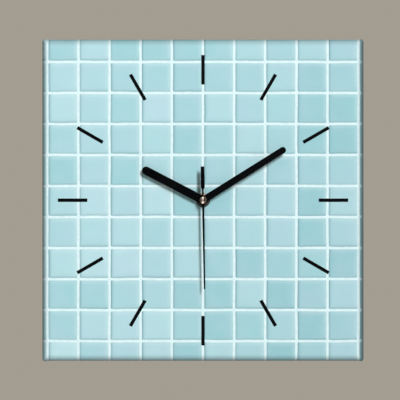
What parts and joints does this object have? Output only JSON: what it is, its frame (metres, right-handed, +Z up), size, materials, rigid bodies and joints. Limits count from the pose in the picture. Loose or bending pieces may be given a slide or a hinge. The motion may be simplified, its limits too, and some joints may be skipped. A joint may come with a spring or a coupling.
{
  "type": "wall clock",
  "caption": "Square wall clock: canvas print wrapped over a mitred wooden frame, with printed hour bars, three hands and a quartz movement behind.",
  "frame": {"origin": "on the axis of the hands, in the plane of the canvas hem that rests on the wall", "axes": "+X right as seen from the front, +Y from the viewer into the wall, +Z up"},
  "size_m": [0.3, 0.0325, 0.3],
  "materials": {
    "printed_canvas": "matt cotton canvas with a pale aqua tile print",
    "black_ink": "flat printed ink, matt",
    "hardboard": "brown hardboard, smooth front and meshed back",
    "pine": "planed pine, bare",
    "zinc_steel": "galvanised wire",
    "black_plastic": "fine spark-eroded texture",
    "grey_plastic": "moulded, satin",
    "brass": "turned, bright",
    "rubber": "matt sheet rubber",
    "soft_iron": "punched, dull",
    "bobbin_plastic": "natural nylon",
    "copper": "enamelled copper wire",
    "circuit_laminate": "green solder mask",
    "epoxy": "black epoxy drop",
    "crystal_can": "drawn can, plated",
    "contact_steel": "nickel plated spring strip",
    "black_lacquer": "stamped sheet, satin black lacquer",
    "arbor_steel": "polished pin",
    "gear_plastic": "natural acetal",
    "magnet": "sintered ring",
    "cell_steel": "nickel plated",
    "cell_film": "shrunk film, plain",
    "seal_plastic": "moulded nylon"
  },
  "bodies": {
    "clock_body": {"canvas_print": "printed_canvas", "hour_marks": "black_ink", "backing_board": "hardboard", "stretcher_bar_top": "pine", "stretcher_bar_right": "pine", "stretcher_bar_bottom": "pine", "stretcher_bar_left": "pine", "canvas_staples": "zinc_steel", "corner_v_nails": "zinc_steel", "front_case": "black_plastic", "rear_case": "black_plastic", "middle_plate": "grey_plastic", "threaded_bush": "brass", "rubber_washer": "rubber", "brass_washer": "brass", "hex_nut": "brass", "stator": "soft_iron", "coil_core": "soft_iron", "core_rivets": "zinc_steel", "coil_bobbin": "bobbin_plastic", "coil_winding": "copper", "circuit_board": "circuit_laminate", "clock_chip": "epoxy", "quartz_crystal": "crystal_can", "contact_positive": "contact_steel", "contact_negative": "contact_steel"},
    "seconds": {"second_hand": "black_lacquer", "second_hand_bush": "brass", "seconds_arbor": "arbor_steel", "seconds_wheel": "gear_plastic"},
    "intermediate": {"intermediate_wheel": "gear_plastic"},
    "rotor": {"rotor_pinion": "gear_plastic", "rotor_magnet": "magnet"},
    "third": {"third_wheel": "gear_plastic"},
    "centre": {"centre_wheel": "gear_plastic", "clutch_spring": "contact_steel"},
    "minutes": {"minute_pipe": "gear_plastic", "minute_hand": "black_lacquer"},
    "motion": {"motion_wheel": "gear_plastic"},
    "hours": {"hour_wheel": "gear_plastic", "hour_hand": "black_lacquer"},
    "setting": {"setting_knob": "grey_plastic", "setting_pinion": "gear_plastic"},
    "cell": {"cell_can": "cell_steel", "cell_sleeve": "cell_film", "cell_seal": "seal_plastic", "cell_negative_cap": "cell_steel"}
  },
  "joints": [
    {"name": "seconds_spin", "type": "hinge", "parent": "clock_body", "child": "seconds", "pos_m": [0, 0, 0], "axis": [0, 1, 0], "continuous": true},
    {"name": "intermediate_spin", "type": "hinge", "parent": "clock_body", "child": "intermediate", "pos_m": [0.00375, 0, 0.0065], "axis": [0, 1, 0], "continuous": true},
    {"name": "rotor_spin", "type": "hinge", "parent": "clock_body", "child": "rotor", "pos_m": [0, 0, 0.01241], "axis": [0, 1, 0], "continuous": true},
    {"name": "third_spin", "type": "hinge", "parent": "clock_body", "child": "third", "pos_m": [0.0093, 0, 0.00339], "axis": [0, 1, 0], "continuous": true},
    {"name": "centre_spin", "type": "hinge", "parent": "clock_body", "child": "centre", "pos_m": [0, 0, 0], "axis": [0, 1, 0], "continuous": true},
    {"name": "minutes_spin", "type": "hinge", "parent": "clock_body", "child": "minutes", "pos_m": [0, 0, 0], "axis": [0, 1, 0], "continuous": true},
    {"name": "motion_spin", "type": "hinge", "parent": "clock_body", "child": "motion", "pos_m": [-0.0084, 0, 0], "axis": [0, 1, 0], "continuous": true},
    {"name": "hours_spin", "type": "hinge", "parent": "clock_body", "child": "hours", "pos_m": [0, 0, 0], "axis": [0, 1, 0], "continuous": true},
    {"name": "setting_spin", "type": "hinge", "parent": "clock_body", "child": "setting", "pos_m": [-0.01508, 0, 0.00668], "axis": [0, 1, 0], "continuous": true},
    {"name": "cell_slide", "type": "slide", "parent": "clock_body", "child": "cell", "axis": [0, 1, 0], "range_m": [0, 0.03]}
  ],
  "couplings": [
    {"joint": "intermediate_spin", "follows": "seconds_spin", "ratio": -5},
    {"joint": "rotor_spin", "follows": "seconds_spin", "ratio": 30},
    {"joint": "third_spin", "follows": "seconds_spin", "ratio": -0.125},
    {"joint": "centre_spin", "follows": "seconds_spin", "ratio": 0.016667},
    {"joint": "motion_spin", "follows": "minutes_spin", "ratio": -0.33333},
    {"joint": "hours_spin", "follows": "minutes_spin", "ratio": 0.083333},
    {"joint": "setting_spin", "follows": "minutes_spin", "ratio": 0.66667}
  ]
}
